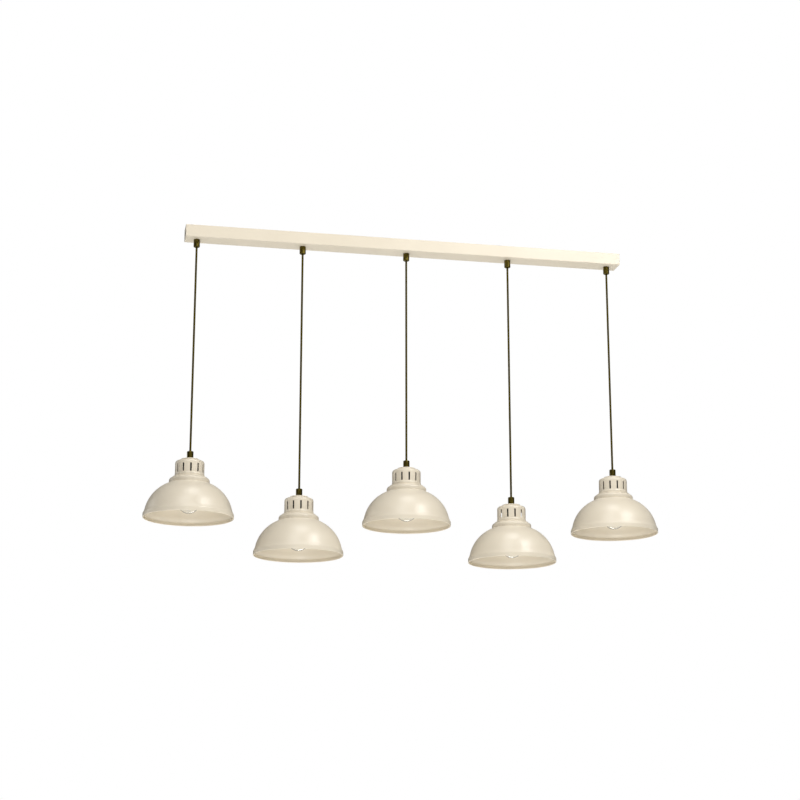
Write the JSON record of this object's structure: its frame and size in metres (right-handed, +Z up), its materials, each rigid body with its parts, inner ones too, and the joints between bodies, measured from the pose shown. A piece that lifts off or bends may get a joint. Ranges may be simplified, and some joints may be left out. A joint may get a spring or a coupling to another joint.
{
  "type": "linear island pendant",
  "caption": "Ceiling bar with a row of stepped dome shades that hang on cords at two heights, each with a clear bulb.",
  "frame": {"origin": "centre of the ceiling strip's top face, which meets the ceiling", "axes": "+X along the bar, +Z up into the ceiling, -Y towards the viewer at the front of the bar"},
  "size_m": [1.3486, 0.2286, 0.8587],
  "materials": {
    "cream_paint": "satin cream powder coat",
    "bronze": "dark antique bronze, satin",
    "zinc_steel": "zinc plated, dull",
    "cord_textile": "braided olive bronze textile",
    "black_plastic": "moulded, matt",
    "block_plastic": "natural, slightly waxy",
    "contact_brass": "bright stamped brass",
    "cap_metal": "bright rolled aluminium",
    "clear_glass": "clear, thin"
  },
  "bodies": {
    "canopy": {"ceiling_strip": "zinc_steel", "canopy_bar": "cream_paint", "canopy_screws": "zinc_steel", "upper_grips": "bronze", "grip_nuts": "zinc_steel", "grip_screws": "zinc_steel", "terminal_block": "block_plastic", "terminal_screws": "zinc_steel", "earth_screw": "zinc_steel", "inner_leads": "cord_textile"},
    "cord_bend_1": {"cord_flex_1": "cord_textile"},
    "cord_drop_1": {"cord_1": "cord_textile"},
    "lamp_1": {"lower_grip_1": "bronze", "neck_cup_1": "cream_paint", "shade_1": "cream_paint", "lamp_socket_1": "black_plastic", "shade_ring_1": "black_plastic", "socket_contacts_1": "contact_brass"},
    "bulb_1": {"bulb_cap_1": "cap_metal", "bulb_glass_1": "clear_glass"},
    "cord_bend_2": {"cord_flex_2": "cord_textile"},
    "cord_drop_2": {"cord_2": "cord_textile"},
    "lamp_2": {"lower_grip_2": "bronze", "neck_cup_2": "cream_paint", "shade_2": "cream_paint", "lamp_socket_2": "black_plastic", "shade_ring_2": "black_plastic", "socket_contacts_2": "contact_brass"},
    "bulb_2": {"bulb_cap_2": "cap_metal", "bulb_glass_2": "clear_glass"},
    "cord_bend_3": {"cord_flex_3": "cord_textile"},
    "cord_drop_3": {"cord_3": "cord_textile"},
    "lamp_3": {"lower_grip_3": "bronze", "neck_cup_3": "cream_paint", "shade_3": "cream_paint", "lamp_socket_3": "black_plastic", "shade_ring_3": "black_plastic", "socket_contacts_3": "contact_brass"},
    "bulb_3": {"bulb_cap_3": "cap_metal", "bulb_glass_3": "clear_glass"},
    "cord_bend_4": {"cord_flex_4": "cord_textile"},
    "cord_drop_4": {"cord_4": "cord_textile"},
    "lamp_4": {"lower_grip_4": "bronze", "neck_cup_4": "cream_paint", "shade_4": "cream_paint", "lamp_socket_4": "black_plastic", "shade_ring_4": "black_plastic", "socket_contacts_4": "contact_brass"},
    "bulb_4": {"bulb_cap_4": "cap_metal", "bulb_glass_4": "clear_glass"},
    "cord_bend_5": {"cord_flex_5": "cord_textile"},
    "cord_drop_5": {"cord_5": "cord_textile"},
    "lamp_5": {"lower_grip_5": "bronze", "neck_cup_5": "cream_paint", "shade_5": "cream_paint", "lamp_socket_5": "black_plastic", "shade_ring_5": "black_plastic", "socket_contacts_5": "contact_brass"},
    "bulb_5": {"bulb_cap_5": "cap_metal", "bulb_glass_5": "clear_glass"}
  },
  "joints": [
    {"name": "swing_across_1", "type": "hinge", "parent": "canopy", "child": "cord_bend_1", "pos_m": [-0.56, 0, -0.0534], "axis": [1, 0, 0], "range_deg": [-30, 30]},
    {"name": "swing_along_1", "type": "hinge", "parent": "cord_bend_1", "child": "cord_drop_1", "pos_m": [-0.56, 0, -0.0654], "axis": [0, 1, 0], "range_deg": [-6, 6]},
    {"name": "height_1", "type": "slide", "parent": "cord_drop_1", "child": "lamp_1", "axis": [0, 0, 1], "range_m": [0, 0.3], "deforming": ["cord_1"]},
    {"name": "bulb_release_1", "type": "slide", "parent": "lamp_1", "child": "bulb_1", "axis": [0, 0, -1], "range_m": [0, 0.028]},
    {"name": "swing_across_2", "type": "hinge", "parent": "canopy", "child": "cord_bend_2", "pos_m": [-0.28, 0, -0.0534], "axis": [1, 0, 0], "range_deg": [-30, 30]},
    {"name": "swing_along_2", "type": "hinge", "parent": "cord_bend_2", "child": "cord_drop_2", "pos_m": [-0.28, 0, -0.0654], "axis": [0, 1, 0], "range_deg": [-6, 6]},
    {"name": "height_2", "type": "slide", "parent": "cord_drop_2", "child": "lamp_2", "axis": [0, 0, 1], "range_m": [0, 0.3], "deforming": ["cord_2"]},
    {"name": "bulb_release_2", "type": "slide", "parent": "lamp_2", "child": "bulb_2", "axis": [0, 0, -1], "range_m": [0, 0.028]},
    {"name": "swing_across_3", "type": "hinge", "parent": "canopy", "child": "cord_bend_3", "pos_m": [0, 0, -0.0534], "axis": [1, 0, 0], "range_deg": [-30, 30]},
    {"name": "swing_along_3", "type": "hinge", "parent": "cord_bend_3", "child": "cord_drop_3", "pos_m": [0, 0, -0.0654], "axis": [0, 1, 0], "range_deg": [-6, 6]},
    {"name": "height_3", "type": "slide", "parent": "cord_drop_3", "child": "lamp_3", "axis": [0, 0, 1], "range_m": [0, 0.3], "deforming": ["cord_3"]},
    {"name": "bulb_release_3", "type": "slide", "parent": "lamp_3", "child": "bulb_3", "axis": [0, 0, -1], "range_m": [0, 0.028]},
    {"name": "swing_across_4", "type": "hinge", "parent": "canopy", "child": "cord_bend_4", "pos_m": [0.28, 0, -0.0534], "axis": [1, 0, 0], "range_deg": [-30, 30]},
    {"name": "swing_along_4", "type": "hinge", "parent": "cord_bend_4", "child": "cord_drop_4", "pos_m": [0.28, 0, -0.0654], "axis": [0, 1, 0], "range_deg": [-6, 6]},
    {"name": "height_4", "type": "slide", "parent": "cord_drop_4", "child": "lamp_4", "axis": [0, 0, 1], "range_m": [0, 0.3], "deforming": ["cord_4"]},
    {"name": "bulb_release_4", "type": "slide", "parent": "lamp_4", "child": "bulb_4", "axis": [0, 0, -1], "range_m": [0, 0.028]},
    {"name": "swing_across_5", "type": "hinge", "parent": "canopy", "child": "cord_bend_5", "pos_m": [0.56, 0, -0.0534], "axis": [1, 0, 0], "range_deg": [-30, 30]},
    {"name": "swing_along_5", "type": "hinge", "parent": "cord_bend_5", "child": "cord_drop_5", "pos_m": [0.56, 0, -0.0654], "axis": [0, 1, 0], "range_deg": [-6, 6]},
    {"name": "height_5", "type": "slide", "parent": "cord_drop_5", "child": "lamp_5", "axis": [0, 0, 1], "range_m": [0, 0.3], "deforming": ["cord_5"]},
    {"name": "bulb_release_5", "type": "slide", "parent": "lamp_5", "child": "bulb_5", "axis": [0, 0, -1], "range_m": [0, 0.028]}
  ]
}
